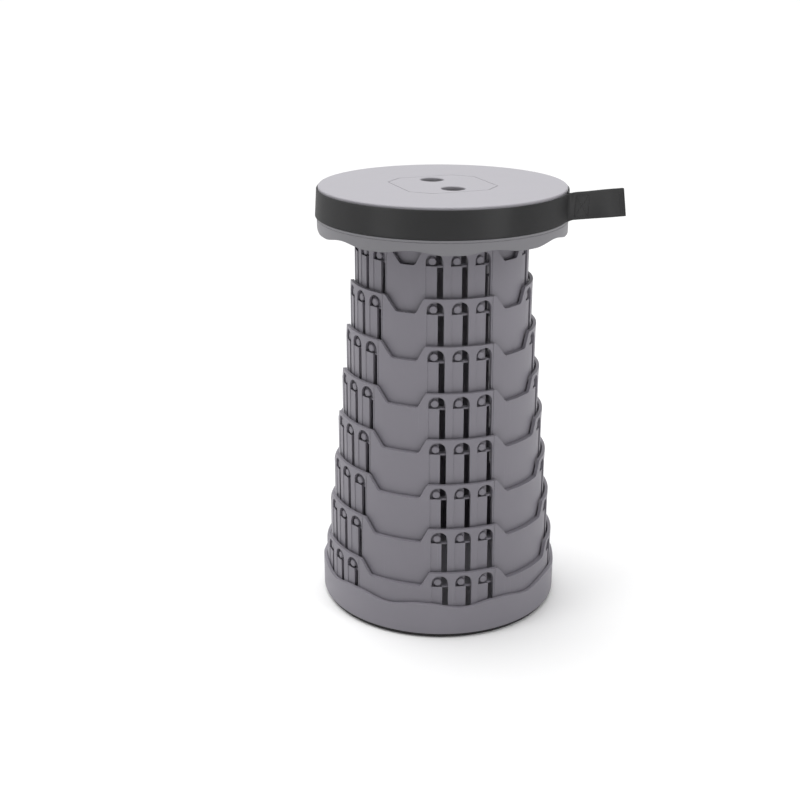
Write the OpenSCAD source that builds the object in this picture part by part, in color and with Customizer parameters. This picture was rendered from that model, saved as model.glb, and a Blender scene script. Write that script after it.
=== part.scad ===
// Telescopic stool: a round seat on a column of nested rings that slide down into the base.
// Each ring hangs by its knobs in the arched windows of the next larger ring.
// Millimetres, +Z up, origin at the centre of the face that stands on the floor.

/* [Column] */
// Outside diameter of the smallest ring, right under the seat
top_ring_d = 179.8; // [150:0.2:182]
// Wall thickness of every ring
ring_wall = 3.4; // [3.2:0.1:3.8]
// Radial gap between a ring and the next larger one
ring_gap = 1.54; // [1.3:0.02:1.8]
// Height of a ring from its lower edge to the top of its platforms
ring_h = 64.4; // [63:0.2:66]
// How far each ring pulls out of the next larger one
ring_rise = 46.9; // [44:0.1:47]
// How far the top edge of a ring drops between the platforms
crown_drop = 15.2; // [10:0.2:16]
// Where the front windows face, turned from the front towards the right
front_turn = 14.8; // [0:0.1:30]

/* [Windows] */
// Distance between windows along the outside of a ring
window_pitch = 24.5; // [22:0.1:25]
// Width of the arched opening
window_w = 17; // [15:0.5:18]
// Width of the long slot under the arch
slot_w = 6; // [4:0.2:6.4]
// Wall left between the arch and the top of the platform
arch_margin = 2.9; // [2.5:0.1:4]
// Diameter of a locking knob
knob_d = 8; // [7:0.2:8.4]
// Height of a knob's centre above the lower edge of its ring
knob_z = 6.4; // [6.2:0.1:7.4]
// Height of the thicker rim at the lower edge of a ring
rim_h = 2; // [1.5:0.1:2.2]

/* [Seat] */
// Thickness of the lid
lid_t = 3.5; // [3:0.1:5]
// Diameter of a finger hole
finger_hole_d = 24; // [20:0.5:28]
// Distance from the centre of the seat to each finger hole
finger_hole_offset = 28.2; // [24:0.2:30]
// Thickness of the deck that carries the lid
deck_t = 3; // [2.5:0.1:4]
// Depth of the waved skirt under the strap, at its lowest
skirt_h = 14.2; // [12:0.1:16]
// Height of the waves in the skirt
skirt_wave = 4; // [2:0.5:5]

/* [Strap] */
// Width of the webbing
strap_w = 28; // [24:0.5:32]
// Thickness of the webbing
strap_t = 1.5; // [1.2:0.1:1.6]
// Length of the doubled pull tab, from the fold to its end
tab_l = 65.6; // [40:0.2:90]

/* [Base] */
// Height of the waved collar above the foot ring, at its highest
collar_h = 34.2; // [30:0.2:36]
// Height of the waves in the collar
collar_wave = 4.6; // [2:0.2:6]
// Wall thickness of the collar
collar_wall = 3.6; // [3.2:0.1:4.5]
// Thickness of the floor
floor_t = 3.6; // [3:0.1:5]
// Height of the rubber foot ring
foot_h = 5; // [4:0.5:8]

/* [Hidden] */

$fn = 96;
// Overrun of every cut past the solid that it cuts
cut = 1;
// Height at which a rounded cut crosses the edge that it starts from
edge_lift = 0.1;
// Clearance between parts that are held together
fit_gap = 0.3;
// Clearance of a screw in its hole
screw_gap = 0.1;
// Clearance of the webbing in its recess
strap_gap = 0.1;

// Column
ring_count = 8;
// Where the groups of windows stand, counted from the front group
group_angles = [0, 73, 144, 216, 290];
group_count = len(group_angles);
front_angle = -90 + front_turn;
window_offsets = [-1, 0, 1];
ring_step = ring_wall + ring_gap;
floor_top = foot_h + floor_t;
function ring_r(k) = top_ring_d / 2 + (k - 1) * ring_step;
function ring_low(k) = floor_top + (ring_count - k) * ring_rise;
function arc_turn(arc, r) = arc / r * 180 / PI;
function group_room(g) = (g + 1 < group_count ? group_angles[g + 1] : 360) - group_angles[g];
// Distance from the axis to a chord's middle, where half the chord is given
function chord_r(r, half) = sqrt(r * r - half * half);

// Platforms of the top edge, measured along the arc from the middle slot
crown_left = 41.5;
crown_right = 32.3;
slope_left = 8;
slope_right = 12.5;
slope_blend = 1.6;
blend_steps = 3;

// Windows, measured from the lower edge of the ring that they are in
arch_r = window_w / 2;
arch_shift = arch_r - slot_w / 2;
arch_z = ring_h - arch_margin - arch_r;
knob_rest_gap = 0.4;
ledge_z = ring_rise + knob_z - knob_d / 2 - knob_rest_gap;
knob_shift = 8;
knob_gap = 0.35;
knob_side_gap = 0.5;
knob_chamfer = 0.8;
knob_root_share = 0.8;
knob_fn = 32;
keyway_d = 2;
knob_proj = ring_gap + keyway_d - knob_gap;
rim_gap = 0.34;
rim_proj = ring_gap - rim_gap;
recess_d = 0.5;
slot_lift = 0.5;
slot_z = rim_h + slot_lift;
seam_gap = 1.2;
seam_w = 0.6;
seam_d = 0.4;

// Base
collar_r = ring_r(ring_count) + fit_gap + collar_wall;
collar_top = foot_h + collar_h;
wave_count = 10;
wave_turn = 360 / wave_count;
wave_share = 0.84;
wave_half = wave_turn * wave_share / 2;
wave_steps = 12;
collar_wave_angle = -78.5;
lug_proj = 1.6;
flange_w = 29;
floor_lip_w = 11;
floor_lip_t = 2;
foot_w = 14;
foot_inset = 2.5;
foot_chamfer = 1;
screw_r = 1.5;
screw_head_r = 3.2;
screw_head_t = 2;
screw_face_share = 0.6;
screw_fn = 32;
screw_count = 5;
base_screw_l = 5;
floor_r = collar_r - flange_w - fit_gap;
base_screw_r = floor_r + floor_lip_w / 2 + fit_gap;
rib_t = 2.2;

// Seat
seat_wall = 1.5;
skirt_gap = 0.45;
seat_inner_r = ring_r(ring_count) + skirt_gap;
seat_wall_r = seat_inner_r + seat_wall;
skirt_r = seat_wall_r + strap_gap + strap_t;
tube_low = ring_low(0);
tube_reach = 21.2;
skirt_low = tube_low + tube_reach;
strap_low = skirt_low + skirt_h;
strap_low_play = 0.3;
strap_top_play = 2.5;
deck_top = strap_low + strap_low_play + strap_w + strap_top_play - lid_t;
deck_low = deck_top - deck_t;
seat_top = deck_top + lid_t;
skirt_wave_angle = -67;
skirt_line_z = 2.3;
skirt_line_d = 0.5;
tube_r = ring_r(0);
tube_flange_w = 9.6;
tube_slot_h = 40;
deck_hole_play = 0.8;
deck_hole_r = tube_r - ring_wall - tube_flange_w - deck_hole_play;
seat_screw_r = tube_r - ring_wall - tube_flange_w / 2;
seat_screw_l = 8;
lid_chamfer = 0.8;
lid_ring_t = 2.4;
lid_ring_h = 6.5;
lid_rib_count = 10;
hole_axis_angle = 112.5;
hub_margin = 3;
hub_r = finger_hole_offset + finger_hole_d / 2 + hub_margin;
finger_hole_fn = 64;
outline_corners = 4;
outline_r = 56.7;
outline_long_turn = 64;
outline_w = 0.9;
outline_d = 0.5;
hole_chamfer = 0.8;

// Strap, whose two ends leave the seat together as a pull tab
strap_inner_r = seat_wall_r + strap_gap;
strap_z = strap_low + strap_low_play;
strap_mid_r = strap_inner_r + strap_t / 2;
tab_root_angle = -16.8;
tab_direction = 23.6;
tab_layer_gap = 0.1;
tab_front_turn = 9.6;
tab_rear_turn = 7.3;
front_bend_r = 8;
rear_bend_r = 3;
bend_steps = 8;

module band(r0, r1, z0, z1) {
    rotate_extrude()
        translate([r0, z0])
            square([r1 - r0, z1 - z0]);
}

module sector(r0, r1, z0, z1, a0, a1) {
    rotate([0, 0, a0])
        rotate_extrude(angle = a1 - a0)
            translate([r0, z0])
                square([r1 - r0, z1 - z0]);
}

// Turns a profile drawn with the tangent along X and the height along Y to stand across the wall
module across(r0, r1) {
    translate([r0, 0, 0])
        rotate([90, 0, 90])
            linear_extrude(r1 - r0)
                children();
}

module each_group() {
    for (g = [0 : group_count - 1])
        rotate([0, 0, front_angle + group_angles[g]])
            let ($room = group_room(g))
                children();
}

module each_window(r) {
    each_group()
        for (w = window_offsets)
            rotate([0, 0, arc_turn(w * window_pitch, r)])
                children();
}

// Part above one slope of the top edge, which falls towards +X around the slope's middle
module slope_cut(run) {
    fall = crown_drop / run;
    steps = [0 : blend_steps];
    blend = [for (i = steps) let (u = 2 * i / blend_steps)
        [u * slope_blend, fall * slope_blend * u * u / 4]];
    upper = [for (p = blend) [p[0] - slope_blend - run / 2, -p[1]]];
    lower = [for (i = steps) let (p = blend[blend_steps - i])
        [run / 2 + slope_blend - p[0], p[1] - crown_drop]];
    polygon(concat(upper, lower, [
        [run / 2 + slope_blend + cut, -crown_drop],
        [run / 2 + slope_blend + cut, cut],
        [-run / 2 - slope_blend, cut]]));
}

module crown_cuts(r) {
    low_start = crown_right + slope_right + slope_blend;
    low_end = crown_left + slope_left + slope_blend;
    each_group() {
        sector(r - ring_wall - cut, r + cut, ring_h - crown_drop, ring_h + cut,
            arc_turn(low_start, r), $room - arc_turn(low_end, r));
        rotate([0, 0, arc_turn(crown_right + slope_right / 2, r)])
            across(r - ring_wall - cut, r + cut)
                translate([0, ring_h + edge_lift])
                    slope_cut(slope_right);
        rotate([0, 0, -arc_turn(crown_left + slope_left / 2, r)])
            across(r - ring_wall - cut, r + cut)
                translate([0, ring_h + edge_lift])
                    mirror([1, 0])
                        slope_cut(slope_left);
        rotate([0, 0, arc_turn(window_pitch + slot_w / 2 + seam_gap, r)])
            sector(r - seam_d, r + cut, slot_z, ring_h + cut, 0, arc_turn(seam_w, r));
    }
}

// Arch with its ledge, and the long slot under its right side
module window_cuts(r) {
    r0 = chord_r(r - ring_wall, arch_shift + arch_r) - cut;
    each_window(r) {
        across(r0, r + cut) {
            translate([-arch_shift, arch_z])
                intersection() {
                    circle(arch_r);
                    translate([-arch_r, ledge_z - arch_z])
                        square([window_w, arch_r + arch_z - ledge_z]);
                }
            translate([-arch_shift - arch_r, ledge_z])
                square([window_w, arch_z - ledge_z]);
            translate([-slot_w / 2, slot_z])
                square([slot_w, arch_z - slot_z]);
        }
        sector(r - recess_d, r + cut, knob_z + knob_d / 2 + knob_side_gap, ledge_z + knob_rest_gap,
            -arc_turn(arch_shift + arch_r, r), 0);
    }
}

// Grooves inside the wall that the next smaller ring's knobs slide in
module keyways(r) {
    half = arc_turn(knob_d / 2 + knob_side_gap, r);
    each_window(r)
        rotate([0, 0, -arc_turn(knob_shift, r)])
            sector(r - ring_wall - cut, r - ring_wall + keyway_d, -cut, ledge_z + knob_rest_gap,
                -half, half);
}

// Knobs of ring k sit in the middle of the keyways of the next larger ring
module knobs(k, proj) {
    r = ring_r(k);
    root = (ring_wall - keyway_d) * knob_root_share;
    l = root + proj;
    each_window(ring_r(k + 1))
        rotate([0, 0, -arc_turn(knob_shift, ring_r(k + 1))])
            translate([r - root, 0, knob_z])
                rotate([0, 90, 0])
                    rotate_extrude($fn = knob_fn)
                        polygon([[0, 0], [knob_d / 2, 0], [knob_d / 2, l - knob_chamfer],
                            [knob_d / 2 - knob_chamfer, l], [0, l]]);
}

module ring(k) {
    r = ring_r(k);
    color([0.50, 0.49, 0.51])
        translate([0, 0, ring_low(k)])
            difference() {
                union() {
                    band(r - ring_wall, r, 0, ring_h);
                    if (k < ring_count)
                        band(r - ring_wall / 2, r + rim_proj, 0, rim_h);
                    knobs(k, k < ring_count ? knob_proj : lug_proj);
                }
                crown_cuts(r);
                window_cuts(r);
                keyways(r);
            }
}

// Innermost ring, screwed up under the seat
module seat_tube() {
    r = tube_r;
    h = deck_low - tube_low;
    color([0.50, 0.49, 0.51])
        translate([0, 0, tube_low])
            difference() {
                union() {
                    band(r - ring_wall, r, 0, h);
                    band(r - ring_wall / 2, r + rim_proj, 0, rim_h);
                    band(r - ring_wall - tube_flange_w, r - ring_wall / 2, h - deck_t, h);
                    knobs(0, knob_proj);
                }
                each_window(r)
                    across(r - ring_wall - cut, r + cut)
                        translate([-slot_w / 2, slot_z])
                            square([slot_w, tube_slot_h]);
                screw_holes(seat_screw_r, h - deck_t - cut, h + cut);
            }
}

module screw_holes(r, z0, z1) {
    for (i = [0 : screw_count - 1])
        rotate([0, 0, front_angle + (i + 0.5) * 360 / screw_count])
            translate([r, 0, z0])
                cylinder(r = screw_r + screw_gap, h = z1 - z0, $fn = screw_fn);
}

// Screws with their heads down
module screws(r, z, l) {
    for (i = [0 : screw_count - 1])
        rotate([0, 0, front_angle + (i + 0.5) * 360 / screw_count])
            translate([r, 0, z])
                rotate_extrude($fn = screw_fn)
                    polygon([[0, -screw_head_t], [screw_head_r * screw_face_share, -screw_head_t],
                        [screw_head_r, -screw_head_t / 2], [screw_head_r, 0],
                        [screw_r, 0], [screw_r, l], [0, l]]);
}

// One wave, cut upwards from height 0 and centred on X, whose depth is given
module wave_cut(r, depth) {
    end_x = r * sin(wave_half);
    crest = [for (i = [0 : wave_steps]) let (a = wave_half * (2 * i / wave_steps - 1))
        [r * sin(a), -depth * (1 + cos(180 * a / wave_half)) / 2]];
    polygon(concat(crest, [[end_x, cut], [-end_x, cut]]));
}

module waves(r, z, depth, wall, angle, up) {
    for (i = [0 : wave_count - 1])
        rotate([0, 0, angle + i * wave_turn])
            across(chord_r(r - wall, r * sin(wave_half)) - cut, r + cut)
                translate([0, up ? z + edge_lift : z - edge_lift])
                    mirror([0, up ? 0 : 1])
                        wave_cut(r, depth);
}

module seat_lid() {
    r = seat_wall_r;
    ring_out = deck_hole_r - fit_gap;
    color([0.78, 0.775, 0.79])
        difference() {
            union() {
                rotate_extrude()
                    polygon([[0, deck_top], [r, deck_top], [r, seat_top - lid_chamfer],
                        [r - lid_chamfer, seat_top], [0, seat_top]]);
                band(ring_out - lid_ring_t, ring_out, deck_top - lid_ring_h, deck_top + lid_t / 2);
                band(hub_r, hub_r + lid_ring_t, deck_top - lid_ring_h, deck_top + lid_t / 2);
                for (i = [0 : lid_rib_count - 1])
                    rotate([0, 0, hole_axis_angle + i * 360 / lid_rib_count])
                        translate([hub_r + lid_ring_t / 2, -rib_t / 2, deck_top - lid_ring_h])
                            cube([ring_out - hub_r - lid_ring_t, rib_t, lid_ring_h + lid_t / 2]);
            }
            for (side = [-1, 1])
                rotate([0, 0, hole_axis_angle])
                    translate([side * finger_hole_offset, 0, 0]) {
                        translate([0, 0, deck_top - cut])
                            cylinder(d = finger_hole_d, h = lid_t + 2 * cut, $fn = finger_hole_fn);
                        translate([0, 0, seat_top - hole_chamfer])
                            cylinder(d1 = finger_hole_d, d2 = finger_hole_d + 2 * hole_chamfer + 2 * cut,
                                h = hole_chamfer + cut, $fn = finger_hole_fn);
                    }
            translate([0, 0, seat_top - outline_d])
                linear_extrude(outline_d + cut)
                    difference() {
                        seat_outline(outline_r);
                        seat_outline(outline_r - outline_w);
                    }
            screw_holes(seat_screw_r, deck_top - cut, deck_low - deck_t + seat_screw_l + fit_gap);
        }
}

// Square with cut corners that is drawn on the seat
module seat_outline(r) {
    polygon([for (i = [0 : outline_corners - 1]) for (s = [-1, 1])
        let (a = hole_axis_angle + i * 360 / outline_corners + s * outline_long_turn / 2)
        [r * cos(a), r * sin(a)]]);
}

module seat_body() {
    line_z = strap_low - skirt_line_z;
    color([0.53, 0.525, 0.54])
        difference() {
            rotate_extrude()
                polygon([[deck_hole_r, deck_low], [seat_inner_r, deck_low], [seat_inner_r, skirt_low],
                    [skirt_r, skirt_low], [skirt_r, line_z - skirt_line_d],
                    [skirt_r - skirt_line_d, line_z], [skirt_r, line_z + skirt_line_d],
                    [skirt_r, strap_low], [seat_wall_r, strap_low], [seat_wall_r, deck_top],
                    [deck_hole_r, deck_top]]);
            waves(skirt_r, skirt_low, skirt_wave, skirt_r - seat_inner_r, skirt_wave_angle, false);
            screw_holes(seat_screw_r, deck_low - cut, deck_top + cut);
        }
}

module seat_screws() {
    color([0.35, 0.35, 0.36])
        screws(seat_screw_r, deck_low - deck_t, seat_screw_l);
}

function unit(v) = v / norm(v);
function left_of(v) = [-v[1], v[0]];
function turned(v, a) = [v[0] * cos(a) - v[1] * sin(a), v[0] * sin(a) + v[1] * cos(a)];
function on_circle(r, a) = [r * cos(a), r * sin(a)];
function meet(p, u, q, v) = p + u * cross(q - p, v) / cross(u, v);

// Path from p to q round a corner c that is rounded with radius r
function bent_path(p, c, q, r) =
    let (u = unit(c - p), v = unit(q - c), turn = acos(u * v), side = sign(cross(u, v)),
        start = c - u * r * tan(turn / 2), centre = start + left_of(u) * side * r)
    concat([p], [for (i = [0 : bend_steps])
        centre + turned(start - centre, side * turn * i / bend_steps)], [q]);

// Outline of webbing that follows a path
function webbing(path) =
    let (n = len(path) - 1,
        side = [for (i = [0 : n]) left_of(unit(path[min(i + 1, n)] - path[max(i - 1, 0)]))])
    concat([for (i = [0 : n]) path[i] + side[i] * strap_t / 2],
        [for (i = [0 : n]) path[n - i] - side[n - i] * strap_t / 2]);

// One of the two layers of the pull tab, from the band's end at the angle given
module tab_layer(start_angle, way, bend_r) {
    start = on_circle(strap_mid_r, start_angle);
    along = way * left_of(unit(start));
    out = on_circle(1, tab_direction);
    shift = -way * left_of(out) * (strap_t + tab_layer_gap) / 2;
    root = on_circle(strap_inner_r + strap_t, tab_root_angle) + shift;
    corner = meet(start, along, root, out);
    polygon(webbing(bent_path(start, corner, root + out * tab_l, bend_r)));
}

module strap_tail() {
    color([0.23, 0.23, 0.235])
        translate([0, 0, strap_z])
            linear_extrude(strap_w) {
                tab_layer(tab_root_angle - tab_front_turn, 1, front_bend_r);
                tab_layer(tab_root_angle + tab_rear_turn, -1, rear_bend_r);
            }
}

module strap_band() {
    color([0.23, 0.23, 0.235])
        sector(strap_inner_r, strap_inner_r + strap_t, strap_z, strap_z + strap_w,
            tab_root_angle + tab_rear_turn, tab_root_angle - tab_front_turn + 360);
}

module base_shell() {
    inner_r = collar_r - collar_wall;
    lug_z = floor_top + knob_z;
    lug_half = knob_d / 2 + fit_gap;
    lug_r = inner_r - fit_gap + lug_proj + fit_gap;
    color([0.50, 0.49, 0.51])
        difference() {
            rotate_extrude()
                polygon([[collar_r - flange_w, foot_h], [collar_r, foot_h], [collar_r, collar_top],
                    [inner_r, collar_top], [inner_r, lug_z + lug_half], [lug_r, lug_z + lug_half],
                    [lug_r, lug_z - lug_half], [inner_r, lug_z - lug_half], [inner_r, floor_top],
                    [collar_r - flange_w, floor_top]]);
            waves(collar_r, collar_top, collar_wave, collar_wall, collar_wave_angle, true);
            screw_holes(base_screw_r, foot_h - cut, foot_h - floor_lip_t + base_screw_l + fit_gap);
        }
}

module base_floor() {
    color([0.45, 0.44, 0.46])
        difference() {
            union() {
                band(0, floor_r, foot_h - floor_lip_t, floor_top);
                band(floor_r - cut, floor_r + floor_lip_w, foot_h - floor_lip_t, foot_h);
            }
            screw_holes(base_screw_r, foot_h - floor_lip_t - cut, foot_h + cut);
        }
}

module base_screws() {
    color([0.35, 0.35, 0.36])
        screws(base_screw_r, foot_h - floor_lip_t, base_screw_l);
}

module foot_ring() {
    r1 = collar_r - foot_inset;
    r0 = r1 - foot_w;
    color([0.10, 0.10, 0.10])
        rotate_extrude()
            polygon([[r0 + foot_chamfer, 0], [r1 - foot_chamfer, 0], [r1, foot_chamfer],
                [r1, foot_h], [r0, foot_h], [r0, foot_chamfer]]);
}

seat_lid();
seat_body();
seat_tube();
seat_screws();
strap_band();
strap_tail();
ring(1);  // ring_1
ring(2);  // ring_2
ring(3);  // ring_3
ring(4);  // ring_4
ring(5);  // ring_5
ring(6);  // ring_6
ring(7);  // ring_7
ring(8);  // ring_8
base_shell();
base_floor();
base_screws();
foot_ring();
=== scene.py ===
"""Finish of the telescopic stool: moulded plastic, webbing strap, screws, rubber foot and studio.

Metres, +Z up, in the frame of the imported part. The rings, the seat mouldings and the base keep
their solids and get their finish here; the strap and the screws are modelled here.
"""

import math

import bmesh
import bpy
from bpy.props import FloatProperty, FloatVectorProperty, PointerProperty
from mathutils import Matrix, Vector


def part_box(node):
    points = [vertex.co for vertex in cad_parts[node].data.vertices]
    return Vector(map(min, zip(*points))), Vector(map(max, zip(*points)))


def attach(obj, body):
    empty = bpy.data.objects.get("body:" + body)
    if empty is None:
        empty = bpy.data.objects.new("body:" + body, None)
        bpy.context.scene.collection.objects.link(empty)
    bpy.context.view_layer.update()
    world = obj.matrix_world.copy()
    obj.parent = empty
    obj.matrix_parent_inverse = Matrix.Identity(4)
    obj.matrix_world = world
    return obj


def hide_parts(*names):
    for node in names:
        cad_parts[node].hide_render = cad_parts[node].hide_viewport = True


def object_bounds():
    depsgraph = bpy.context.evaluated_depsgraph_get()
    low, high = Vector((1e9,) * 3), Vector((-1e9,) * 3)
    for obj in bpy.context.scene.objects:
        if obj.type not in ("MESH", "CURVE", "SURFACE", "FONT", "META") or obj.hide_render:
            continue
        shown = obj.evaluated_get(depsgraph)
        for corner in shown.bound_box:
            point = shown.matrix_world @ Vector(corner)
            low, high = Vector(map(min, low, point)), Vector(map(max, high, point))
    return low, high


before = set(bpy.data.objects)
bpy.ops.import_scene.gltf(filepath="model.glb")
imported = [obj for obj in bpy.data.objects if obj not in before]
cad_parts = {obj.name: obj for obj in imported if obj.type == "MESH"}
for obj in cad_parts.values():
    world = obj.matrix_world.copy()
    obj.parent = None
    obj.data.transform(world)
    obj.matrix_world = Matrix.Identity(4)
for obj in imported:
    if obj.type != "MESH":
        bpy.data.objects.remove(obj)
PACKED_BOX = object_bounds()

bl_info = {
    "name": "Telescopic Stool Finish",
    "version": (1, 0, 0),
    "blender": (4, 5, 0),
    "location": "View3D > Sidebar > Stool",
    "description": "Finishes the packed telescopic stool and sets up its studio",
    "category": "Object",
}

MM = 0.001
RING_NODES = ["ring_%d" % k for k in range(1, 9)]


# Settings

def linear(*levels):
    """Linear colour of an sRGB colour given in levels from 0 to 255."""
    shares = [level / 255 for level in levels]
    return tuple(s / 12.92 if s <= 0.04045 else ((s + 0.055) / 1.055) ** 2.4 for s in shares)


def colour_setting(name, description, levels):
    """Colour, given in sRGB levels from 0 to 255."""
    return FloatVectorProperty(
        name=name, description=description, subtype="COLOR", size=3, min=0, max=1,
        default=linear(*levels))


def length_setting(name, description, millimetres):
    """Length on the stool, given in millimetres."""
    return FloatProperty(
        name=name, description=description, unit="LENGTH", min=0, precision=5,
        default=millimetres * MM)


def room_setting(name, description, metres):
    """Length in the studio, given in metres."""
    return FloatProperty(name=name, description=description, unit="LENGTH", min=0, default=metres)


def share_setting(name, description, default):
    """Number from 0 to 1."""
    return FloatProperty(
        name=name, description=description, subtype="FACTOR", min=0, max=1, default=default)


def strength_setting(name, description, default, unit="NONE"):
    """Strength of a light."""
    return FloatProperty(name=name, description=description, unit=unit, min=0, default=default)


def angle_setting(name, description, degrees):
    """Angle, given in degrees."""
    return FloatProperty(
        name=name, description=description, subtype="ANGLE", default=math.radians(degrees))


def turn_setting(name, description, degrees):
    """Rotation about X, Y and Z, given in degrees."""
    return FloatVectorProperty(
        name=name, description=description, subtype="EULER",
        default=tuple(math.radians(angle) for angle in degrees))


class PlasticSettings(bpy.types.PropertyGroup):
    """Colours and surface of the mouldings"""

    column_colour: colour_setting("Column", "Colour of the rings", (123, 120, 128))
    # The lid is the same plastic as the skirt; its colour is painted lighter, standing in for the
    # light that falls on its top.
    lid_painted_light_colour: colour_setting("Lid", "Colour of the lid", (152, 150, 156))
    skirt_colour: colour_setting("Skirt", "Colour of the seat's body and skirt", (120, 119, 123))
    base_colour: colour_setting("Base", "Colour of the collar and the floor", (129, 126, 134))
    grain_size: length_setting("Grain", "Size of the grain of the mould", 0.55)
    grain_depth: length_setting("Grain depth", "Depth of the grain of the mould", 0.03)
    edge_radius: length_setting("Edge radius", "Rounding that the edges catch light with", 0.45)
    roughness: share_setting("Roughness", "Roughness of the plastic", 0.5)
    wear: share_setting("Wear", "How much the edges are rubbed", 0.35)
    marks: share_setting("Slide marks", "How strong the marks of sliding are on the rings", 0.3)


class FootSettings(bpy.types.PropertyGroup):
    """Rubber foot ring"""

    colour: colour_setting("Rubber", "Colour of the foot ring", (34, 33, 34))
    roughness: share_setting("Roughness", "Roughness of the rubber", 0.75)
    grain_size: length_setting("Grain", "Size of the grain of the rubber", 0.9)
    grain_depth: length_setting("Grain depth", "Depth of the grain of the rubber", 0.06)
    edge_radius: length_setting("Edge radius", "Rounding of the rubber's edges", 0.6)


class StrapSettings(bpy.types.PropertyGroup):
    """Webbing of the carrying strap"""

    colour: colour_setting("Webbing", "Colour of the yarn", (34, 34, 35))
    # The thread is painted paler than the yarn: painted sheen that matches the glossy webbing and
    # offsets the shade between the stitches.
    thread_painted_sheen_colour: colour_setting("Thread", "Colour of the stitches", (66, 65, 67))
    thickness: length_setting("Thickness", "Thickness of the webbing", 1.5)
    selvage: length_setting("Selvage", "How much the woven edges are rounded", 0.6)
    yarn: length_setting("Yarn", "Distance between the yarns", 1.3)
    relief: length_setting("Relief", "Height of the weave", 0.05)
    gloss: share_setting("Gloss", "How strongly the yarn shines", 0.42)
    ripple: length_setting(
        "Ripple", "How far the band stands off the seat in its soft waves", 0.3)
    slack: length_setting(
        "Slack", "How far the band's lower edge stands off the seat on its loose side", 1.7)
    tab_bend: length_setting(
        "Tab bend", "How far the pull tab bends forwards by its end", 4.5)
    tab_lift: length_setting("Tab lift", "How far the pull tab rises by its end", 2.2)
    tab_skew: length_setting(
        "Tab skew", "How far the tab's upper edge ends short of its lower edge", 2.8)
    stitch: length_setting("Stitch", "Length of a stitch", 2.6)
    thread: length_setting("Thread thickness", "Thickness of the thread", 0.55)


class ScrewSettings(bpy.types.PropertyGroup):
    """Cross-recessed screws"""

    colour: colour_setting("Steel", "Colour of the steel", (150, 150, 152))
    head_radius: length_setting("Head radius", "Radius of the screw's head", 3.2)
    head_height: length_setting("Head height", "Height of the screw's head", 2.0)
    shank_radius: length_setting("Shank radius", "Radius of the shank", 1.5)
    recess_width: length_setting("Recess width", "Width of the arms of the cross", 0.9)
    recess_depth: length_setting("Recess depth", "Depth of the cross", 1.1)


class StudioSettings(bpy.types.PropertyGroup):
    """Floor, light and camera"""

    floor_colour: colour_setting("Floor", "Colour of the floor", (250, 250, 250))
    floor_radius: room_setting("Floor radius", "Radius of the floor", 40)
    sun_strength: strength_setting("Sun", "Strength of the soft overhead light", 2.85)
    sun_angle: angle_setting("Sun size", "Angle that the soft light covers", 68)
    sun_turn: turn_setting("Sun turn", "Rotation of the soft overhead light", (-16, -14.5, 0))
    left_power: strength_setting("Left power", "Power of the left side light", 10.2, "POWER")
    right_power: strength_setting("Right power", "Power of the right side light", 16.8, "POWER")
    box_width: room_setting("Side light width", "Width of a side light", 0.75)
    box_height: room_setting("Side light height", "Height of a side light", 1.8)
    box_distance: room_setting(
        "Side light distance", "Distance of a side light from the column", 2.4)
    box_rise: angle_setting("Side light rise", "Angle that the side lights shine down at", 44)
    left_box_turn: angle_setting(
        "Left light", "Where the left light stands around the column", -150)
    right_box_turn: angle_setting(
        "Right light", "Where the right light stands around the column", -36)
    sky_strength: strength_setting("Sky", "Strength of the light from all around", 0.2)
    camera_place: FloatVectorProperty(
        name="Camera", description="Place of the camera", subtype="TRANSLATION",
        default=(0, -1.2337, 0.6621))
    camera_turn: turn_setting("Camera turn", "Rotation of the camera", (70.154, 0, 2.002))
    lens: FloatProperty(
        name="Lens", description="Focal length on a 36 mm sensor", unit="CAMERA", default=54.69)


class StoolSettings(bpy.types.PropertyGroup):
    """All settings of the stool"""

    plastic: PointerProperty(type=PlasticSettings)
    foot: PointerProperty(type=FootSettings)
    strap: PointerProperty(type=StrapSettings)
    screws: PointerProperty(type=ScrewSettings)
    studio: PointerProperty(type=StudioSettings)


# Node wiring

SOCKET_KINDS = {
    "value": "NodeSocketFloat", "colour": "NodeSocketColor", "vector": "NodeSocketVector"}
# Places of the sockets of a Mix node: share, first, second and result
MIX_SOCKETS = {"RGBA": (0, 6, 7, 2), "FLOAT": (0, 2, 3, 0)}


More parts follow.
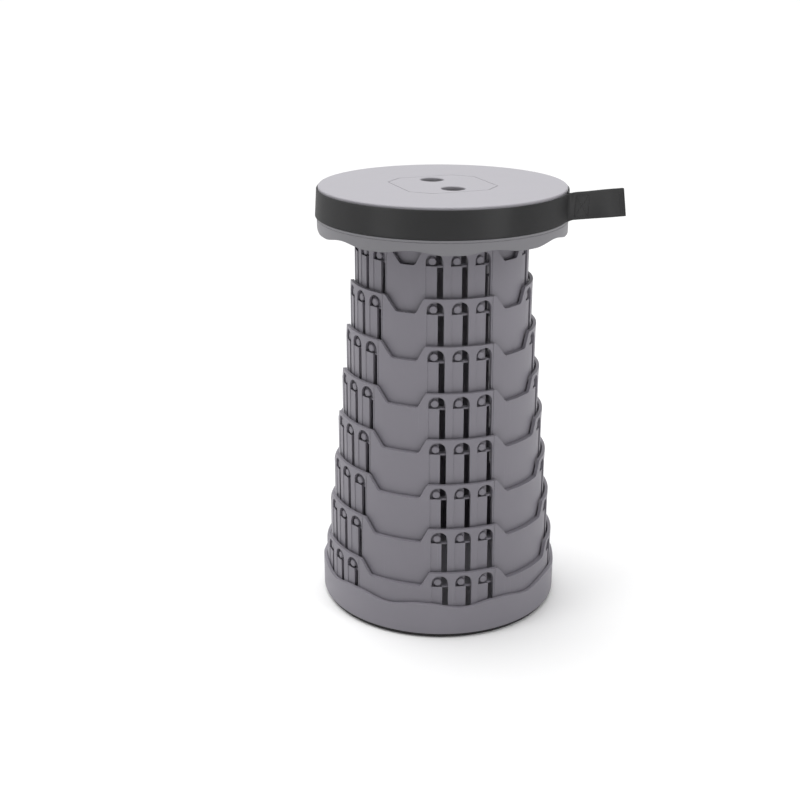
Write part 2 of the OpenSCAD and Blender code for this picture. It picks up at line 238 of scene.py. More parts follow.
class Wiring:
    """Adds nodes to a node tree and wires them by socket."""

    def __init__(self, tree):
        self.tree = tree

    def add(self, kind, sockets=None, **settings):
        """A new node with its settings, and its sockets fed."""
        node = self.tree.nodes.new(kind)
        for name, value in settings.items():
            setattr(node, name, value)
        for name, value in (sockets or {}).items():
            self.feed(node.inputs[name], value)
        return node

    def feed(self, socket, value):
        """Links a socket to another one, or sets its number or colour."""
        if isinstance(value, bpy.types.NodeSocket):
            self.tree.links.new(value, socket)
        elif hasattr(value, "__len__") and len(value) == 3 and socket.type == "RGBA":
            socket.default_value = (*value, 1)
        else:
            socket.default_value = value

    def maths(self, operation, *values):
        node = self.add("ShaderNodeMath", operation=operation)
        for socket, value in zip(node.inputs, values):
            self.feed(socket, value)
        return node.outputs[0]

    def swing(self, value, amount):
        """A value around 0.5 as a change of the given size around nothing."""
        return self.maths("MULTIPLY", self.maths("SUBTRACT", value, 0.5), amount)

    def mix(self, kind, share, first, second):
        """Mix of two colours (RGBA) or two numbers (FLOAT)."""
        node = self.add("ShaderNodeMix", data_type=kind)
        *fed, result = MIX_SOCKETS[kind]
        for place, value in zip(fed, (share, first, second)):
            self.feed(node.inputs[place], value)
        return node.outputs[result]

    def shaded(self, colour, shade):
        """The colour times a number."""
        node = self.add("ShaderNodeVectorMath", {0: colour, "Scale": shade}, operation="SCALE")
        return node.outputs[0]

    def ramp(self, value, low, high):
        """The value as a share of the way from low to high."""
        node = self.add("ShaderNodeMapRange", {"Value": value, "From Min": low, "From Max": high})
        return node.outputs[0]

    def noise(self, vector, scale, detail=2.0, roughness=0.5):
        sockets = {"Vector": vector, "Scale": scale, "Detail": detail, "Roughness": roughness}
        return self.add("ShaderNodeTexNoise", sockets).outputs[0]

    def bump(self, height, distance, normal=None):
        sockets = {"Height": height, "Distance": distance}
        if normal is not None:
            sockets["Normal"] = normal
        return self.add("ShaderNodeBump", sockets).outputs[0]

    def place(self):
        """Place on the piece, in metres."""
        return self.add("ShaderNodeTexCoord").outputs["Object"]


def start_group(name, inputs, outputs):
    """Empty node group with named sockets, and its wiring, input and output."""
    group = bpy.data.node_groups.new(name, "ShaderNodeTree")
    for in_out, sockets in (("INPUT", inputs), ("OUTPUT", outputs)):
        for socket, kind in sockets.items():
            group.interface.new_socket(
                name=socket, in_out=in_out, socket_type=SOCKET_KINDS[kind])
    w = Wiring(group)
    return group, w, w.add("NodeGroupInput").outputs, w.add("NodeGroupOutput").inputs


# Shared effects

def mould_grain_group():
    """Fine spark-eroded grain and the faint clouding of a moulded surface."""
    group, w, given, result = start_group(
        "mould_grain", {"Colour": "colour", "Size": "value", "Clouding": "value"},
        {"Colour": "colour", "Height": "value", "Roughness": "value"})
    broad_scale, cloud_scale = 0.22, 26
    fine_share = 0.7
    speck_shade, cloud_gloss = 0.08, 0.16
    place = w.place()
    fine = w.noise(place, w.maths("DIVIDE", 1, given["Size"]), 3, 0.6)
    broad = w.noise(place, w.maths("DIVIDE", broad_scale, given["Size"]), 1)
    cloud = w.noise(place, cloud_scale, 3)
    w.feed(result["Height"], w.maths(
        "ADD", w.maths("MULTIPLY", fine, fine_share), w.maths("MULTIPLY", broad, 1 - fine_share)))
    shade = w.maths("ADD", 1, w.swing(cloud, given["Clouding"]))
    shade = w.maths("ADD", shade, w.swing(fine, speck_shade))
    w.feed(result["Colour"], w.shaded(given["Colour"], shade))
    w.feed(result["Roughness"], w.swing(cloud, cloud_gloss))
    return group


def edge_wear_group():
    """Rounded normal along edges, and the paler rub that handling leaves there."""
    group, w, given, result = start_group(
        "edge_wear", {"Colour": "colour", "Radius": "value", "Wear": "value"},
        {"Colour": "colour", "Normal": "vector"})
    edge_begins, edge_full = 0.995, 0.8
    patch_scale, patch_begins, patch_full = 160, 0.42, 0.62
    rub_share, rub_colour = 0.35, (0.75, 0.74, 0.76)
    rounded = w.add("ShaderNodeBevel", {"Radius": given["Radius"]}, samples=4).outputs[0]
    flat = w.add("ShaderNodeNewGeometry").outputs["Normal"]
    agree = w.add("ShaderNodeVectorMath", {0: rounded, 1: flat}, operation="DOT_PRODUCT")
    edge = w.ramp(agree.outputs["Value"], edge_begins, edge_full)
    patch = w.ramp(w.noise(w.place(), patch_scale, 4, 0.7), patch_begins, patch_full)
    mask = w.maths("MULTIPLY", w.maths("MULTIPLY", edge, patch), given["Wear"])
    pale = w.mix("RGBA", rub_share, given["Colour"], rub_colour)
    w.feed(result["Colour"], w.mix("RGBA", mask, given["Colour"], pale))
    w.feed(result["Normal"], rounded)
    return group


def slide_marks_group():
    """Fine upright rub marks that the rings leave on each other."""
    group, w, given, result = start_group(
        "slide_marks", {"Colour": "colour", "Strength": "value"},
        {"Colour": "colour", "Mask": "value"})
    around_scale, up_scale, radius_scale = 90, 5, 300
    line_scale, line_begins, line_full = 1.6, 0.6, 0.74
    patch_scale, patch_begins, patch_full = 14, 0.45, 0.65
    rub_share, rub_colour = 0.4, (0.6, 0.59, 0.61)
    axes = w.add("ShaderNodeSeparateXYZ", {0: w.place()}).outputs
    turn = w.maths("ARCTAN2", axes[1], axes[0])
    radius = w.maths("SQRT", w.maths(
        "ADD", w.maths("POWER", axes[0], 2), w.maths("POWER", axes[1], 2)))
    upright = w.add("ShaderNodeCombineXYZ", {
        0: w.maths("MULTIPLY", turn, around_scale),
        1: w.maths("MULTIPLY", axes[2], up_scale),
        2: w.maths("MULTIPLY", radius, radius_scale)}).outputs[0]
    line = w.ramp(w.noise(upright, line_scale, 3, 0.75), line_begins, line_full)
    patch = w.ramp(w.noise(w.place(), patch_scale, 2), patch_begins, patch_full)
    mask = w.maths("MULTIPLY", w.maths("MULTIPLY", line, patch), given["Strength"])
    pale = w.mix("RGBA", rub_share, given["Colour"], rub_colour)
    w.feed(result["Colour"], w.mix("RGBA", mask, given["Colour"], pale))
    w.feed(result["Mask"], mask)
    return group


def webbing_weave_group():
    """Flat heavy weave laid out along the strap's own length and width, darker in the gaps
    between the yarns: the weave's pattern with painted shade in the gaps.
    """
    group, w, given, result = start_group(
        "webbing_weave", {"Colour": "colour", "Yarn": "value"},
        {"Colour": "colour", "Height": "value"})
    round_along, round_across = 0.6, 0.5
    fuzz_scale, drift_scale = 2600, 45
    # The yarn's colour is darker where the weave is low: the weave's pattern, with painted shade
    # in the gaps between the yarns.
    darkest, weave_painted_shade, fuzz_shade, drift_shade = 0.62, 0.42, 0.3, 0.25
    weave_share = 0.8
    strip = w.add("ShaderNodeTexCoord").outputs["UV"]
    strip = w.add("ShaderNodeSeparateXYZ", {0: strip}).outputs
    along = w.maths("DIVIDE", strip[0], given["Yarn"])
    across = w.maths("DIVIDE", strip[1], given["Yarn"])
    along = w.maths("ADD", along, w.maths("MULTIPLY", w.maths("FLOOR", across), 0.5))

    def yarn(distance, roundness):
        """Height of the yarns across a distance given in yarns."""
        arch = w.maths("ABSOLUTE", w.maths("SINE", w.maths("MULTIPLY", distance, math.pi)))
        return w.maths("POWER", arch, roundness)

    weave = w.maths("MULTIPLY", yarn(along, round_along), yarn(across, round_across))
    fuzz = w.noise(w.place(), fuzz_scale, 2)
    drift = w.noise(w.place(), drift_scale, 2)
    shade = w.maths("ADD", darkest, w.maths("MULTIPLY", weave, weave_painted_shade))
    shade = w.maths("ADD", shade, w.swing(fuzz, fuzz_shade))
    shade = w.maths("ADD", shade, w.swing(drift, drift_shade))
    w.feed(result["Colour"], w.shaded(given["Colour"], shade))
    w.feed(result["Height"], w.maths(
        "ADD", w.maths("MULTIPLY", weave, weave_share),
        w.maths("MULTIPLY", fuzz, 1 - weave_share)))
    return group


GROUP_MAKERS = {
    "mould_grain": mould_grain_group, "edge_wear": edge_wear_group,
    "slide_marks": slide_marks_group, "webbing_weave": webbing_weave_group}


def place_group(w, name, sockets):
    """Places a shared effect, which is built the first time that a material needs it."""
    effect = bpy.data.node_groups.get(name) or GROUP_MAKERS[name]()
    return w.add("ShaderNodeGroup", sockets, node_tree=effect).outputs


# Materials

PLASTIC_IOR = 1.49
PLASTIC_CLOUDING = 0.09
# How much smoother a slide mark is
MARK_GLOSS = 0.2
RUBBER_CLOUDING = 0.3
RUBBER_WEAR = 0.25
STEEL_GRAIN = 0.4 * MM
STEEL_CLOUDING = 0.25
STEEL_EDGE = 0.15 * MM
STEEL_WEAR = 0.6
STEEL_ROUGHNESS = 0.34
THREAD_ROUGHNESS = 0.6
THREAD_GLOSS = 0.3
# The yarn runs along the strip, and turns matt where it is seen aslant
STRIP_UV = "strip"
YARN_ROUGHNESS = 0.45
WEAVE_ROUGHNESS = 0.1
ASLANT_BEGINS, ASLANT_FULL, ASLANT_ROUGHNESS = 0.15, 0.6, 0.5
YARN_TURN = 0.25


def start_material(name):
    """New material, the wiring of its nodes and its shader."""
    material = bpy.data.materials.new(name)
    material.use_nodes = True
    return material, Wiring(material.node_tree), material.node_tree.nodes["Principled BSDF"]


def plastic_material(name, colour, settings, marks=0.0):
    """Grained plastic, with slide marks where marks is more than nothing."""
    material, w, shader = start_material(name)
    grain = place_group(w, "mould_grain", {
        "Colour": colour, "Size": settings.grain_size, "Clouding": PLASTIC_CLOUDING})
    tone = grain["Colour"]
    rough = w.maths("ADD", settings.roughness, grain["Roughness"])
    if marks:
        rub = place_group(w, "slide_marks", {"Colour": tone, "Strength": marks})
        tone = rub["Colour"]
        rough = w.maths("SUBTRACT", rough, w.maths("MULTIPLY", rub["Mask"], MARK_GLOSS))
    edges = place_group(w, "edge_wear", {
        "Colour": tone, "Radius": settings.edge_radius, "Wear": settings.wear})
    w.feed(shader.inputs["Base Color"], edges["Colour"])
    w.feed(shader.inputs["Roughness"], rough)
    w.feed(shader.inputs["Normal"], w.bump(
        grain["Height"], settings.grain_depth, edges["Normal"]))
    shader.inputs["IOR"].default_value = PLASTIC_IOR
    return material


def rubber_material(settings):
    """Matt clouded rubber."""
    material, w, shader = start_material("foot_rubber")
    grain = place_group(w, "mould_grain", {
        "Colour": settings.colour, "Size": settings.grain_size, "Clouding": RUBBER_CLOUDING})
    edges = place_group(w, "edge_wear", {
        "Colour": grain["Colour"], "Radius": settings.edge_radius, "Wear": RUBBER_WEAR})
    w.feed(shader.inputs["Base Color"], edges["Colour"])
    w.feed(shader.inputs["Roughness"], w.maths("ADD", settings.roughness, grain["Roughness"]))
    w.feed(shader.inputs["Normal"], w.bump(
        grain["Height"], settings.grain_depth, edges["Normal"]))
    return material


def thread_material(settings):
    """Sewing thread, painted paler than the webbing to stand in for the webbing's sheen, which
    the thread lacks, and to offset the shade between the stitches.
    """
    material, w, shader = start_material("sewing_thread")
    weave = place_group(w, "webbing_weave", {
        "Colour": settings.thread_painted_sheen_colour, "Yarn": settings.thread})
    w.feed(shader.inputs["Base Color"], weave["Colour"])
    shader.inputs["Roughness"].default_value = THREAD_ROUGHNESS
    shader.inputs["Specular IOR Level"].default_value = THREAD_GLOSS
    return material


def webbing_material(settings):
    """Woven yarn with a gloss that is stretched across the strip."""
    material, w, shader = start_material("webbing")
    weave = place_group(w, "webbing_weave", {"Colour": settings.colour, "Yarn": settings.yarn})
    w.feed(shader.inputs["Base Color"], weave["Colour"])
    facing = w.add("ShaderNodeLayerWeight", {"Blend": 0.5}).outputs["Facing"]
    matt = w.maths("MULTIPLY", w.ramp(facing, ASLANT_BEGINS, ASLANT_FULL), ASLANT_ROUGHNESS)
    rough = w.maths("ADD", YARN_ROUGHNESS, w.maths("MULTIPLY", weave["Height"], WEAVE_ROUGHNESS))
    w.feed(shader.inputs["Roughness"], w.maths("ADD", rough, matt))
    w.feed(shader.inputs["Normal"], w.bump(weave["Height"], settings.relief))
    shader.inputs["Specular IOR Level"].default_value = settings.gloss
    lengthwise = w.add("ShaderNodeTangent", direction_type="UV_MAP", uv_map=STRIP_UV)
    w.feed(shader.inputs["Tangent"], lengthwise.outputs[0])
    shader.inputs["Anisotropic"].default_value = 1.0
    shader.inputs["Anisotropic Rotation"].default_value = YARN_TURN
    return material


def steel_material(settings):
    """Plated steel."""
    material, w, shader = start_material("screw_steel")
    grain = place_group(w, "mould_grain", {
        "Colour": settings.colour, "Size": STEEL_GRAIN, "Clouding": STEEL_CLOUDING})
    edges = place_group(w, "edge_wear", {
        "Colour": grain["Colour"], "Radius": STEEL_EDGE, "Wear": STEEL_WEAR})
    w.feed(shader.inputs["Base Color"], edges["Colour"])
    w.feed(shader.inputs["Roughness"], w.maths("ADD", STEEL_ROUGHNESS, grain["Roughness"]))
    w.feed(shader.inputs["Normal"], edges["Normal"])
    shader.inputs["Metallic"].default_value = 1.0
    return material


# Pieces

def finish_nodes(names, material):
    """Gives CAD nodes their finish."""
    for name in names:
        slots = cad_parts[name].material_slots
        if not slots:
            raise RuntimeError("%s has no material slot" % name)
        for slot in slots:
            slot.material = material


def mesh_from(bm, name):
    """New mesh with what the bmesh holds."""
    mesh = bpy.data.meshes.new(name)
    bm.to_mesh(mesh)
    bm.free()
    return mesh


def add_object(name, data):
    """New object in the scene."""
    thing = bpy.data.objects.new(name, data)
    bpy.context.scene.collection.objects.link(thing)
    return thing


def mesh_piece(name, bm, material, body, replaced=()):
    """Turns a bmesh into a piece that rides on a body."""
    bmesh.ops.recalc_face_normals(bm, faces=bm.faces)
    for face in bm.faces:
        face.smooth = True
    mesh = mesh_from(bm, name)
    mesh.materials.append(material)
    piece = add_object(name, mesh)
    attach(piece, body)
    if replaced:
        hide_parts(*replaced)
    return piece


# Strap, whose route is seen from above

BAND_RADIUS = 127.28 * MM
TAB_ROOT_TURN = math.radians(-16.8)
TAB_DIRECTION = math.radians(23.6)
TAB_FRONT_TURN = math.radians(9.6)
TAB_REAR_TURN = math.radians(7.3)
TAB_LENGTH = 64.8 * MM
TAB_LAYER_GAP = 0.1 * MM
TAB_HALF_WIDTH = 14 * MM
FRONT_BEND = 8 * MM
REAR_BEND = 3 * MM
# The tab bends within its middle, leans from edge to edge and leaves the band over a short run
BEND_START = 14 * MM
BEND_LENGTH = 38 * MM
LEAVE_START = 1 * MM
LEAVE_LENGTH = 7 * MM
ROOT_LEAN = math.radians(-5)
END_LEAN = math.radians(4.6)
# The band's loose side faces left
LOOSE_TURN = math.radians(186)
LOOSE_SPREAD = math.radians(24)
# The band's soft waves: how many go around, their phase and their share. They fade near the tab.
BAND_WAVES = ((11, 0.6, 0.5), (17, 2.1, 0.3), (29, 0, 0.2))
FADE_STEPS = 12
# How finely the webbing is divided
BAND_STEPS = 360
BEND_STEPS = 14
FOLD_STEPS = 8
ROUTE_STEP = 1.1 * MM
FACE_ROWS = 12
SELVAGE_STEPS = 4


def on_circle(radius, turn):
    return Vector((radius * math.cos(turn), radius * math.sin(turn)))


def left_of(v):
    return Vector((-v.y, v.x))


def cross(u, v):
    return u.x * v.y - u.y * v.x


def turned(v, angle):
    return Vector((
        v.x * math.cos(angle) - v.y * math.sin(angle),
        v.x * math.sin(angle) + v.y * math.cos(angle)))


def bend_points(start, corner, end, radius):
    """Points of a path from start to end that rounds the corner."""
    u = (corner - start).normalized()
    v = (end - corner).normalized()
    turn = math.acos(max(-1, min(1, u.dot(v))))
    side = 1 if cross(u, v) > 0 else -1
    first = corner - u * radius * math.tan(turn / 2)
    centre = first + left_of(u) * side * radius
    arc = [centre + turned(first - centre, side * turn * i / BEND_STEPS)
           for i in range(BEND_STEPS + 1)]
    return [start, *arc, end]


def resample(points, step):
    """Points at even distances along the closed path through the points."""
    loop = points + [points[0]]
    lengths = [0.0]
    for a, b in zip(loop, loop[1:]):
        lengths.append(lengths[-1] + (b - a).length)
    count = round(lengths[-1] / step)
    result = []
    j = 0
    for i in range(count):
        target = lengths[-1] * i / count
        while j < len(lengths) - 2 and lengths[j + 1] < target:
            j += 1
        span = lengths[j + 1] - lengths[j]
        share = (target - lengths[j]) / span if span else 0
        result.append(loop[j].lerp(loop[j + 1], share))
    return result


def tab_layer(start_turn, way, bend, thickness):
    """Path of one layer of the pull tab, from the band to the tab's end."""
    start = on_circle(BAND_RADIUS, start_turn)
    along = left_of(start.normalized()) * way
    out = on_circle(1, TAB_DIRECTION)
    shift = left_of(out) * -way * (thickness + TAB_LAYER_GAP) / 2
    root = on_circle(BAND_RADIUS + thickness / 2, TAB_ROOT_TURN) + shift
    corner = start + along * cross(root - start, out) / cross(along, out)
    return bend_points(start, corner, root + out * (TAB_LENGTH - thickness), bend)


def strap_route(settings):
    """Closed path of the strap: once around the seat, out along the tab and back."""
    low = TAB_ROOT_TURN + TAB_REAR_TURN
    high = TAB_ROOT_TURN - TAB_FRONT_TURN + 2 * math.pi
    band = []
    for i in range(BAND_STEPS):
        turn = low + (high - low) * i / BAND_STEPS
        fade = min(1, i / FADE_STEPS, (BAND_STEPS - i) / FADE_STEPS)
        wave = sum(math.sin(count * turn + phase) * share for count, phase, share in BAND_WAVES)
        band.append(on_circle(BAND_RADIUS + settings.ripple * fade * (0.5 + 0.5 * wave), turn))
    front = tab_layer(TAB_ROOT_TURN - TAB_FRONT_TURN, 1, FRONT_BEND, settings.thickness)
    rear = tab_layer(TAB_ROOT_TURN + TAB_REAR_TURN, -1, REAR_BEND, settings.thickness)
    centre = (front[-1] + rear[-1]) / 2
    fold = [centre + turned(front[-1] - centre, math.pi * i / FOLD_STEPS)
            for i in range(1, FOLD_STEPS)]
    return resample(band + front + fold + rear[:0:-1], ROUTE_STEP)


def ease(share):
    """Soft step from 0 to 1."""
    share = max(0, min(1, share))
    return share * share * (3 - 2 * share)


def droop(settings, spot, height):
    """Step of the loose webbing away from a spot of its route, at a share of its width."""
    leave = ease((spot.length - BAND_RADIUS - LEAVE_START) / LEAVE_LENGTH)
    if not leave:
        turn = math.atan2(spot.y, spot.x) % (2 * math.pi)
        loose = math.exp(-(((turn - LOOSE_TURN) / LOOSE_SPREAD) ** 2))
        return (spot.normalized() * (settings.slack * loose * (1 - height))).to_3d()
    out = on_circle(1, TAB_DIRECTION)
    along = (spot - on_circle(BAND_RADIUS, TAB_ROOT_TURN)).dot(out)
    share = ease((along - BEND_START) / BEND_LENGTH)
    slope = math.tan(ROOT_LEAN + (END_LEAN - ROOT_LEAN) * share)
    lean = slope * TAB_HALF_WIDTH * (2 * height - 1)
    step = left_of(out) * (lean * leave - settings.tab_bend * share)
    step -= out * settings.tab_skew * height * share
    return step.to_3d() + Vector((0, 0, settings.tab_lift * (leave + share) / 2))


def webbing_section(width, thickness, selvage):
    """Outline of the webbing's cross-section as (offset, height), around the strip."""
    half = thickness / 2
    points = []
    for side in (1, -1):
        for i in range(FACE_ROWS + 1):
            height = selvage + (width - 2 * selvage) * i / FACE_ROWS
            points.append((side * half, height if side > 0 else width - height))
        for i in range(1, SELVAGE_STEPS):
            angle = math.pi * i / SELVAGE_STEPS
            bulge = selvage * math.sin(angle)
            height = width - selvage + bulge if side > 0 else selvage - bulge
            points.append((side * half * math.cos(angle), height))
    return points


def build_strap(settings, low, width):
    """Swept strip of webbing, with its length and width as UV in metres."""
    route = strap_route(settings)
    section = webbing_section(width, settings.thickness, settings.selvage)
    count = len(route)
    bm = bmesh.new()
    uv_layer = bm.loops.layers.uv.new(STRIP_UV)
    rings = []
    for i, spot in enumerate(route):
        ahead = (route[(i + 1) % count] - route[i - 1]).normalized()
        outward = Vector((ahead.y, -ahead.x))
        rings.append([
            bm.verts.new((spot + outward * offset).to_3d() + Vector((0, 0, low + height))
                         + droop(settings, spot, height / width))
            for offset, height in section])
    pitch = sum((route[(i + 1) % count] - route[i]).length for i in range(count)) / count
    rows = len(section)
    for i in range(count):
        for j in range(rows):
            corners = ((i, j), (i + 1, j), (i + 1, j + 1), (i, j + 1))
            face = bm.faces.new([rings[a % count][b % rows] for a, b in corners])
            for loop, (a, b) in zip(face.loops, corners):
                loop[uv_layer].uv = (a * pitch, section[b % rows][1])
    return bm


# Sewing of the tab: a box with a cross near its root and two rows at its end

BOX_NEAR = 9 * MM
BOX_FAR = 24 * MM
END_INSET = 4 * MM
END_ROW_GAP = 2.4 * MM
EDGE_MARGIN = 3.2 * MM
STITCH_GAP = 0.7 * MM
# How far the thread lies proud of the webbing, as a share of its thickness
THREAD_RISE = 0.12


def add_stitch(bm, centre, direction, length, radius):
    """Adds one rounded stitch."""
    made = bmesh.ops.create_uvsphere(
        bm, u_segments=8, v_segments=6, radius=radius, matrix=Matrix.Identity(4))
    for vert in made["verts"]:
        if abs(vert.co.z) > radius * 0.1:
            vert.co.z += math.copysign(length / 2 - radius, vert.co.z)
    turn = Vector((0, 0, 1)).rotation_difference(direction).to_matrix().to_4x4()
    bmesh.ops.transform(bm, matrix=Matrix.Translation(centre) @ turn, verts=made["verts"])


def build_stitches(settings, low, width):
    """Stitches of the pull tab, on both of its faces."""
    bm = bmesh.new()
    out = on_circle(1, TAB_DIRECTION)
    root = on_circle(BAND_RADIUS + settings.thickness / 2, TAB_ROOT_TURN)
    depth = settings.thickness + TAB_LAYER_GAP / 2 + settings.thread * THREAD_RISE
    top = width - EDGE_MARGIN
    end = TAB_LENGTH - END_INSET
    near_low, near_top = Vector((BOX_NEAR, EDGE_MARGIN)), Vector((BOX_NEAR, top))
    far_low, far_top = Vector((BOX_FAR, EDGE_MARGIN)), Vector((BOX_FAR, top))
    rows = [(near_low, far_low), (far_low, far_top), (far_top, near_top), (near_top, near_low),
            (near_low, far_top), (near_top, far_low)]
    for along in (end, end - END_ROW_GAP):
        rows.append((Vector((along, EDGE_MARGIN)), Vector((along, top))))
    for first, last in rows:
        span = (last - first).length
        count = max(1, round(span / (settings.stitch + STITCH_GAP)))
        way = (last - first) / span
        direction = Vector((out.x * way.x, out.y * way.x, way.y))
        for i in range(count):
            along, height = first.lerp(last, (i + 0.5) / count)
            spot = root + out * along
            step = Vector((0, 0, low + height)) + droop(settings, spot, height / width)
            for side in (1, -1):
                centre = (spot + left_of(out) * side * depth).to_3d() + step
                add_stitch(bm, centre, direction, settings.stitch, settings.thread / 2)
    return bm


# Screws

SCREW_COUNT = 5
SCREW_TURN = math.radians(-39.5)
SCREW_SIDES = 40
# Domed head from its top to its rim, as shares of its radius and height
HEAD_PROFILE = ((0, 1), (0.45, 0.97), (0.75, 0.8), (0.94, 0.5), (1, 0.22), (1, 0))
# Where the shank narrows to its point, and how far, as shares of its length and radius
POINT_START, POINT_RADIUS = 0.9, 0.5
# How far the cross reaches in the head, and how it narrows with its depth
RECESS_REACH, RECESS_TIP_REACH, RECESS_TIP_WIDTH = 0.58, 0.45, 0.7
# Each screw stands at its own turn
DRIVEN_TURN = 2.3
SHARP_EDGE = math.radians(35)


def screw_blank(settings, length):
    """Screw without its recess, whose head faces down from height 0."""
    head, tall, shank = settings.head_radius, settings.head_height, settings.shank_radius
    profile = [(head * across, -tall * up) for across, up in HEAD_PROFILE]
    profile += [(shank, 0), (shank, length * POINT_START), (shank * POINT_RADIUS, length),
                (0, length)]
    bm = bmesh.new()
    columns = []
    for radius, height in profile:
        if radius:
            columns.append([
                bm.verts.new((*on_circle(radius, 2 * math.pi * i / SCREW_SIDES), height))
                for i in range(SCREW_SIDES)])
        else:
            columns.append([bm.verts.new((0, 0, height))] * SCREW_SIDES)
    for lower, upper in zip(columns, columns[1:]):
        for i in range(SCREW_SIDES):
            j = (i + 1) % SCREW_SIDES
            bm.faces.new(list(dict.fromkeys([lower[i], lower[j], upper[j], upper[i]])))
    bmesh.ops.recalc_face_normals(bm, faces=bm.faces)
    return mesh_from(bm, "screw_blank")


def recess_cutter(settings):
    """Two tapered bars that cut the cross into the head."""
    half = settings.recess_width / 2
    reach = settings.head_radius * RECESS_REACH
    bottom = settings.recess_depth - settings.head_height
    bm = bmesh.new()
    for quarter in (0, math.pi / 2):
        verts = bmesh.ops.create_cube(bm, size=1)["verts"]
        for vert in verts:
            deep = vert.co.z > 0
            vert.co = Vector((
                math.copysign(reach * (RECESS_TIP_REACH if deep else 1), vert.co.x),
                math.copysign(half * (RECESS_TIP_WIDTH if deep else 1), vert.co.y),
                bottom if deep else -settings.head_height - MM))
        bmesh.ops.rotate(
            bm, verts=verts, cent=(0, 0, 0), matrix=Matrix.Rotation(quarter, 3, "Z"))
    return mesh_from(bm, "screw_cross")


def cut_mesh(blank, cutter):
    """The blank with the cutter taken out of it."""
    blank_object = add_object("screw_blank", blank)
    cutter_object = add_object("screw_cross", cutter)
    cut = blank_object.modifiers.new("cross", "BOOLEAN")
    cut.object = cutter_object
    cut.operation = "DIFFERENCE"
    cut.solver = "EXACT"
    cut.use_self = True
    bpy.context.view_layer.update()
    depsgraph = bpy.context.evaluated_depsgraph_get()
    result = bpy.data.meshes.new_from_object(blank_object.evaluated_get(depsgraph))
    for thing in (blank_object, cutter_object):
        bpy.data.objects.remove(thing)
    return result


def build_screws(settings, circle_radius, seat_height, length):
    """Circle of screws with domed heads that face down and have a cross recess."""
    screw = cut_mesh(screw_blank(settings, length), recess_cutter(settings))
    bm = bmesh.new()
    for i in range(SCREW_COUNT):
        turn = SCREW_TURN + 2 * math.pi * i / SCREW_COUNT
        known = len(bm.verts)
        bm.from_mesh(screw)
        bm.verts.ensure_lookup_table()
        place = Matrix.Translation((*on_circle(circle_radius, turn), seat_height))
        place @= Matrix.Rotation(turn * DRIVEN_TURN, 4, "Z")
        bmesh.ops.transform(bm, matrix=place, verts=bm.verts[known:])
    return bm


def sharpen(piece, angle):
    """Keeps edges sharper than the angle crisp under smooth shading."""
    mesh = piece.data
    bm = bmesh.new()
    bm.from_mesh(mesh)
    for edge in bm.edges:
        edge.smooth = edge.calc_face_angle(0) < angle
    bm.to_mesh(mesh)
    bm.free()


# Studio

FLOOR_SIDES = 96
FLOOR_ROUGHNESS = 0.9
FLOOR_GLOSS = 0.1
SENSOR_WIDTH = 36
VIEW_DISTANCE = 100
WHITE = (1, 1, 1)


def add_floor(settings):
    """Pale round floor, which is part of the stage."""
    bm = bmesh.new()
    bmesh.ops.create_circle(
        bm, cap_ends=True, segments=FLOOR_SIDES, radius=settings.floor_radius)
    floor = add_object("studio_floor", mesh_from(bm, "studio_floor"))
    material, w, shader = start_material("floor_paint")
    w.feed(shader.inputs["Base Color"], settings.floor_colour)
    shader.inputs["Roughness"].default_value = FLOOR_ROUGHNESS
    shader.inputs["Specular IOR Level"].default_value = FLOOR_GLOSS
    floor.data.materials.append(material)


def add_sun(settings):
    """Large soft light from overhead."""
    lamp = bpy.data.lights.new("overhead_light", "SUN")
    lamp.energy = settings.sun_strength
    lamp.angle = settings.sun_angle
    add_object("overhead_light", lamp).rotation_euler = settings.sun_turn


def add_side_light(name, turn, power, settings):
    """Upright soft light that stands beside the camera and shines down on the column."""
    lamp = bpy.data.lights.new(name, "AREA")
    lamp.shape = "RECTANGLE"
    lamp.size = settings.box_width
    lamp.size_y = settings.box_height
    lamp.energy = power
    low, high = PACKED_BOX
    middle = Vector((0, 0, (low[2] + high[2]) / 2))
    level = on_circle(math.cos(settings.box_rise), turn)
    way = Vector((*level, math.sin(settings.box_rise)))
    light = add_object(name, lamp)
    light.location = middle + way * settings.box_distance
    light.rotation_euler = way.to_track_quat("Z", "Y").to_euler()
    light.visible_camera = False


def set_sky(scene, settings):
    """Weak light from all around, which shows as white behind the stool and in its gloss."""
    sky = bpy.data.worlds.new("studio_sky")
    sky.use_nodes = True
    w = Wiring(sky.node_tree)
    backdrop = sky.node_tree.nodes["Background"]
    path = w.add("ShaderNodeLightPath").outputs
    mirrored = w.maths("MAXIMUM", path["Is Glossy Ray"], path["Is Transmission Ray"])
    seen = w.maths("MAXIMUM", path["Is Camera Ray"], mirrored)
    w.feed(backdrop.inputs["Color"], WHITE)
    w.feed(backdrop.inputs["Strength"], w.mix("FLOAT", seen, settings.sky_strength, 1.0))
    scene.world = sky


def add_camera(scene, settings):
    """Camera at the photograph's viewing angle."""
    camera = bpy.data.cameras.new("photo_camera")
    camera.lens = settings.lens
    camera.sensor_width = SENSOR_WIDTH
    camera.clip_end = VIEW_DISTANCE
    stand = add_object("photo_camera", camera)
    stand.location = settings.camera_place
    stand.rotation_euler = settings.camera_turn
    scene.camera = stand


# Operators

class STOOL_OT_studio(bpy.types.Operator):
    """Set up the floor, the soft light, the background and the camera"""

    bl_idname = "stool.studio"
    bl_label = "Studio"

    def execute(self, context):
        scene = context.scene
        settings = scene.stool.studio
        add_floor(settings)
        add_sun(settings)
        add_side_light("left_light", settings.left_box_turn, settings.left_power, settings)
        add_side_light("right_light", settings.right_box_turn, settings.right_power, settings)
        set_sky(scene, settings)
        add_camera(scene, settings)
        scene.view_settings.view_transform = "Standard"
        return {"FINISHED"}


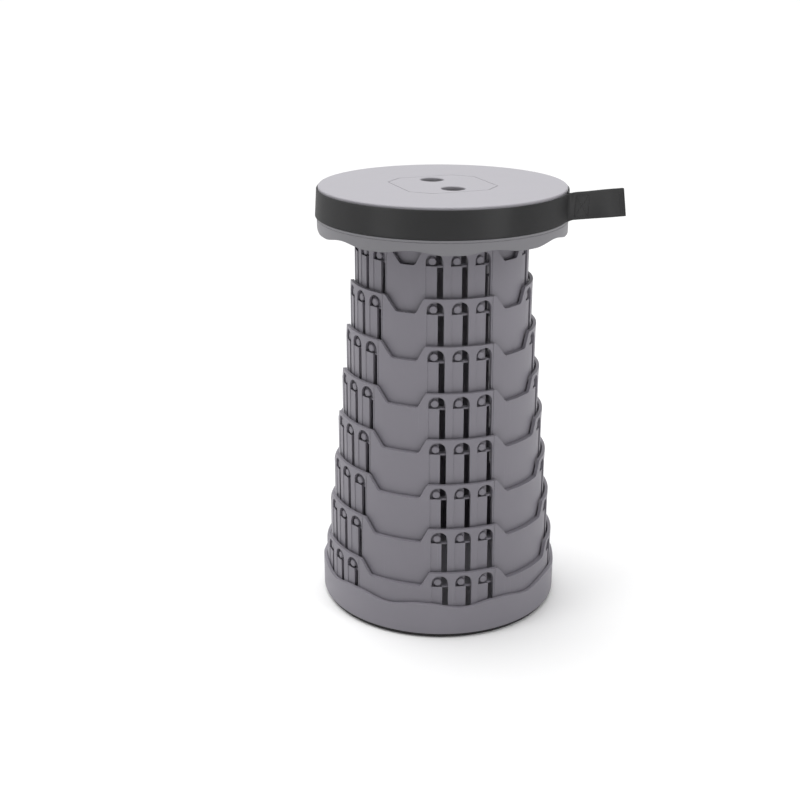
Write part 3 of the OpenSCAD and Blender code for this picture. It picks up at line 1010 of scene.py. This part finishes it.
class STOOL_OT_column(bpy.types.Operator):
    """Finish the rings of the column"""

    bl_idname = "stool.column"
    bl_label = "Column Rings"

    def execute(self, context):
        settings = context.scene.stool.plastic
        finish_nodes(RING_NODES + ["seat_tube"], plastic_material(
            "ring_plastic", settings.column_colour, settings, settings.marks))
        return {"FINISHED"}


class STOOL_OT_seat(bpy.types.Operator):
    """Finish the lid and the body of the seat"""

    bl_idname = "stool.seat"
    bl_label = "Seat Mouldings"

    def execute(self, context):
        settings = context.scene.stool.plastic
        # The lid gets a lighter copy of the skirt's plastic: painted light on its top.
        finish_nodes(["seat_lid"], plastic_material(
            "lid_plastic_painted_light", settings.lid_painted_light_colour, settings))
        finish_nodes(["seat_body"], plastic_material(
            "skirt_plastic", settings.skirt_colour, settings))
        return {"FINISHED"}


class STOOL_OT_base(bpy.types.Operator):
    """Finish the collar and the floor of the base"""

    bl_idname = "stool.base"
    bl_label = "Base Mouldings"

    def execute(self, context):
        settings = context.scene.stool.plastic
        finish_nodes(["base_shell", "base_floor"], plastic_material(
            "base_plastic", settings.base_colour, settings))
        return {"FINISHED"}


class STOOL_OT_foot(bpy.types.Operator):
    """Finish the rubber foot ring"""

    bl_idname = "stool.foot"
    bl_label = "Foot Ring"

    def execute(self, context):
        finish_nodes(["foot_ring"], rubber_material(context.scene.stool.foot))
        return {"FINISHED"}


class STOOL_OT_strap(bpy.types.Operator):
    """Make the webbing strap around the seat with its pull tab"""

    bl_idname = "stool.strap"
    bl_label = "Carrying Strap"

    def execute(self, context):
        settings = context.scene.stool.strap
        low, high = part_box("strap_band")
        bm = build_strap(settings, low.z, high.z - low.z)
        mesh_piece("carrying_strap", bm, webbing_material(settings), "seat",
                   ["strap_band", "strap_tail"])
        return {"FINISHED"}


class STOOL_OT_stitching(bpy.types.Operator):
    """Sew the pull tab of the strap"""

    bl_idname = "stool.stitching"
    bl_label = "Tab Stitching"

    def execute(self, context):
        settings = context.scene.stool.strap
        low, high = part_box("strap_band")
        bm = build_stitches(settings, low.z, high.z - low.z)
        mesh_piece("tab_stitching", bm, thread_material(settings), "seat")
        return {"FINISHED"}


class STOOL_OT_screws(bpy.types.Operator):
    """Make the screws under the seat and under the base"""

    bl_idname = "stool.screws"
    bl_label = "Screws"

    def execute(self, context):
        settings = context.scene.stool.screws
        material = steel_material(settings)
        for node, body in (("seat_screws", "seat"), ("base_screws", "base")):
            low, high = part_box(node)
            seat_height = low.z + settings.head_height
            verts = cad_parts[node].data.vertices
            outermost = max(Vector(v.co[:2]).length for v in verts)
            bm = build_screws(
                settings, outermost - settings.head_radius, seat_height, high.z - seat_height)
            piece = mesh_piece(node + "_cross_head", bm, material, body, [node])
            sharpen(piece, SHARP_EDGE)
        return {"FINISHED"}


OPERATORS = [
    STOOL_OT_studio, STOOL_OT_column, STOOL_OT_seat, STOOL_OT_base, STOOL_OT_foot,
    STOOL_OT_strap, STOOL_OT_stitching, STOOL_OT_screws]
SETTINGS = [PlasticSettings, FootSettings, StrapSettings, ScrewSettings, StudioSettings]


class STOOL_PT_finish(bpy.types.Panel):
    """Lists the stool's pieces and their settings"""

    bl_idname = "STOOL_PT_finish"
    bl_label = "Telescopic Stool"
    bl_space_type = "VIEW_3D"
    bl_region_type = "UI"
    bl_category = "Stool"

    def draw(self, context):
        for operator in OPERATORS:
            self.layout.operator(operator.bl_idname)
        for name in StoolSettings.__annotations__:
            settings = getattr(context.scene.stool, name)
            box = self.layout.box()
            for setting in type(settings).__annotations__:
                box.prop(settings, setting)


CLASSES = [*SETTINGS, StoolSettings, *OPERATORS, STOOL_PT_finish]


def register():
    for cls in CLASSES:
        bpy.utils.register_class(cls)
    bpy.types.Scene.stool = PointerProperty(type=StoolSettings)


def unregister():
    del bpy.types.Scene.stool
    for cls in reversed(CLASSES):
        bpy.utils.unregister_class(cls)


def main():
    register()
    for operator in OPERATORS:
        group, name = operator.bl_idname.split(".")
        getattr(getattr(bpy.ops, group), name)()


if __name__ == "__main__":
    main()
